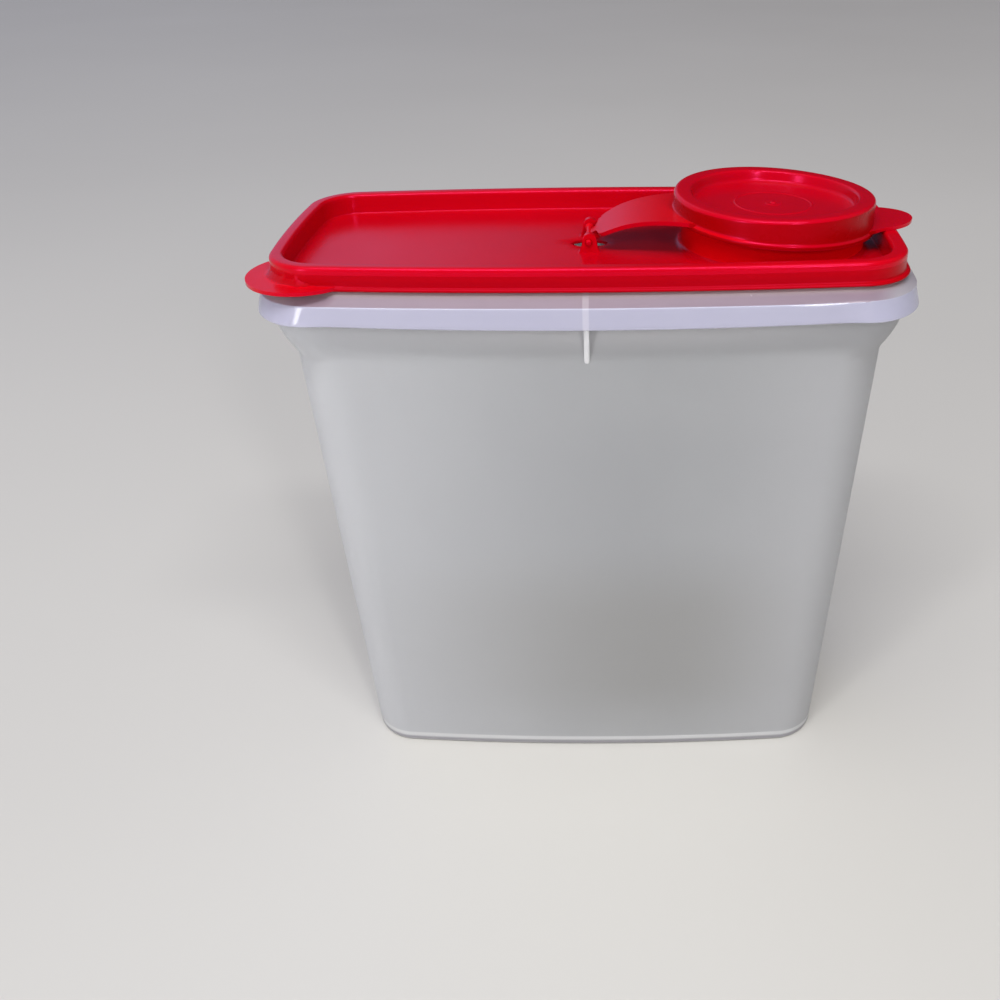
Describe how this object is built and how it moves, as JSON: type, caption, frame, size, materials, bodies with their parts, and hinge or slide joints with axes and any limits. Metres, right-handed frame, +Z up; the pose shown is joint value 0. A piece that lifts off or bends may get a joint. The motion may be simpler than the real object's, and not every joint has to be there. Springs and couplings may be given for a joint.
{
  "type": "cereal container",
  "caption": "Tall slim translucent food keeper with a red press-fit lid, a round pour neck and a hinged flip cap.",
  "frame": {"origin": "centre of the base, on the surface that the container stands on", "axes": "+X towards the pouring end, +Y towards the back, away from the long face seen in the picture, +Z up"},
  "size_m": [0.256, 0.1184, 0.2508],
  "materials": {
    "clear_plastic": "satin, translucent milky polypropylene",
    "red_lid": "satin-gloss moulded polyethylene",
    "red_cap": "satin-gloss moulded polyethylene"
  },
  "bodies": {
    "container": {"container": "clear_plastic"},
    "lid": {"lid": "red_lid"},
    "pour_cap": {"pour_cap": "red_cap"}
  },
  "joints": [
    {"name": "lid_lift", "type": "slide", "parent": "container", "child": "lid", "axis": [0, 0, 1], "range_m": [0, 0.06]},
    {"name": "cap_hinge", "type": "hinge", "parent": "lid", "child": "pour_cap", "pos_m": [0.0005, 0, 0.2336], "axis": [0, -1, 0], "range_deg": [0, 150]}
  ]
}
